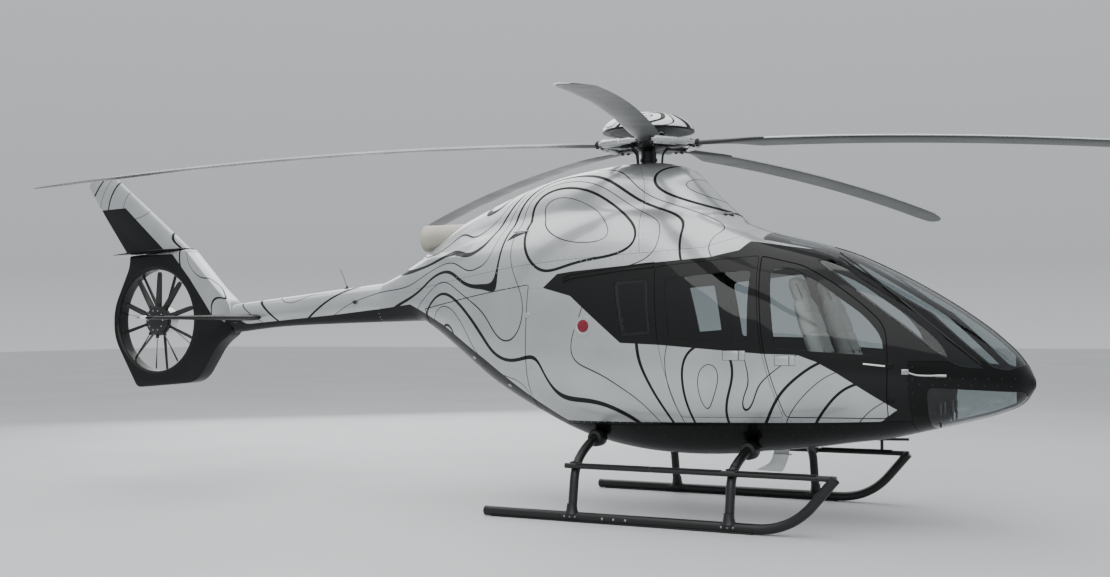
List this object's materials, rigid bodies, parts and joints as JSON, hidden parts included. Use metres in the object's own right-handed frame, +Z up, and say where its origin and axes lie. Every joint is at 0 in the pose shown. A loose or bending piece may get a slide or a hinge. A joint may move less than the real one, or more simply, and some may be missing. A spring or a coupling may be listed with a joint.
{
  "type": "helicopter",
  "caption": "Light single-engine passenger helicopter on skids, with a shrouded tail rotor, hinged cockpit and baggage doors and a hollow, furnished cabin.",
  "frame": {"origin": "on the ground under the middle of the outline, between the two skids and 1.0 m behind the main rotor mast", "axes": "+X to the nose, +Y to port, +Z up"},
  "size_m": [12.9071, 10.4794, 3.6993],
  "materials": {
    "silver_paint": "gloss silver metallic paint under clear lacquer, with black contour lines",
    "silver_composite": "gloss silver metallic paint on composite",
    "black_gloss": "gloss black paint on composite",
    "tinted_glass": "clear to lightly tinted acrylic glazing",
    "white_gloss": "gloss white paint",
    "blade_composite": "satin dark grey paint on composite",
    "black_metal": "satin black paint",
    "machinery": "cast and machined metal",
    "exhaust_steel": "heat-stained matt steel",
    "seat_leather": "light grey-beige leather",
    "cabin_trim": "grey moulded trim and carpet",
    "panel_black": "matt black instrument housing"
  },
  "bodies": {
    "airframe": {"cabin_side_starboard": "silver_paint", "cabin_side_port": "silver_paint", "rear_hull": "silver_paint", "roof_deck": "machinery", "belly_fairing": "black_gloss", "nose_fairing": "black_gloss", "cowling_forward": "silver_paint", "cowling_aft": "silver_paint", "gearbox_block": "machinery", "engine_block": "machinery", "exhaust_pipe": "exhaust_steel", "cabin_floor": "cabin_trim", "rear_bulkhead": "cabin_trim", "instrument_panel": "panel_black", "windscreen_starboard": "tinted_glass", "windscreen_port": "tinted_glass", "front_quarter_window_starboard": "tinted_glass", "front_quarter_window_port": "tinted_glass", "chin_window_starboard": "tinted_glass", "chin_window_port": "tinted_glass", "rear_window_starboard": "tinted_glass", "rear_window_port": "tinted_glass", "sliding_door_starboard": "silver_paint", "sliding_door_port": "silver_paint", "sliding_door_window_starboard": "tinted_glass", "sliding_door_window_port": "tinted_glass", "front_seat_frame_starboard": "cabin_trim", "front_seat_frame_port": "cabin_trim", "front_seat_cushion_starboard": "seat_leather", "front_seat_cushion_port": "seat_leather", "front_seat_back_starboard": "seat_leather", "front_seat_back_port": "seat_leather", "rear_seat_frame": "cabin_trim", "rear_seat_cushion": "seat_leather", "rear_seat_back": "seat_leather", "tail_boom": "silver_paint", "tail_duct": "black_gloss", "fin_plate": "black_gloss", "vertical_fin": "silver_composite", "stabilizer": "black_gloss", "tail_fan_stator": "black_metal", "skid_starboard": "black_metal", "skid_port": "black_metal", "rear_crosstube": "black_metal", "front_crosstube": "black_metal", "belly_antenna": "white_gloss"},
    "main_rotor": {"rotor_hub": "black_metal", "rotor_cap": "white_gloss", "rotor_blade_1": "blade_composite", "rotor_blade_2": "blade_composite", "rotor_blade_3": "blade_composite", "rotor_blade_4": "blade_composite", "rotor_blade_5": "blade_composite"},
    "tail_rotor": {"tail_fan": "black_metal"},
    "cockpit_door_starboard": {"front_door_starboard": "silver_paint", "front_door_window_starboard": "tinted_glass"},
    "cockpit_door_port": {"front_door_port": "silver_paint", "front_door_window_port": "tinted_glass"},
    "baggage_door_starboard": {"clamshell_door_starboard": "silver_paint"},
    "baggage_door_port": {"clamshell_door_port": "silver_paint"}
  },
  "joints": [
    {"name": "main_rotor_spin", "type": "hinge", "parent": "airframe", "child": "main_rotor", "pos_m": [1, 0, 3.412], "axis": [0, 0, 1], "continuous": true},
    {"name": "tail_rotor_spin", "type": "hinge", "parent": "airframe", "child": "tail_rotor", "pos_m": [-5.25, 0, 1.79], "axis": [0, 1, 0], "continuous": true},
    {"name": "cockpit_door_starboard_hinge", "type": "hinge", "parent": "airframe", "child": "cockpit_door_starboard", "pos_m": [3.432, -0.706, 1.22], "axis": [0, 0, 1], "range_deg": [0, 75]},
    {"name": "cockpit_door_port_hinge", "type": "hinge", "parent": "airframe", "child": "cockpit_door_port", "pos_m": [3.432, 0.706, 1.22], "axis": [0, 0, -1], "range_deg": [0, 75]},
    {"name": "baggage_door_starboard_hinge", "type": "hinge", "parent": "airframe", "child": "baggage_door_starboard", "pos_m": [0.142, -0.828, 1.565], "axis": [0, 0, 1], "range_deg": [0, 80]},
    {"name": "baggage_door_port_hinge", "type": "hinge", "parent": "airframe", "child": "baggage_door_port", "pos_m": [0.142, 0.828, 1.565], "axis": [0, 0, -1], "range_deg": [0, 80]}
  ]
}
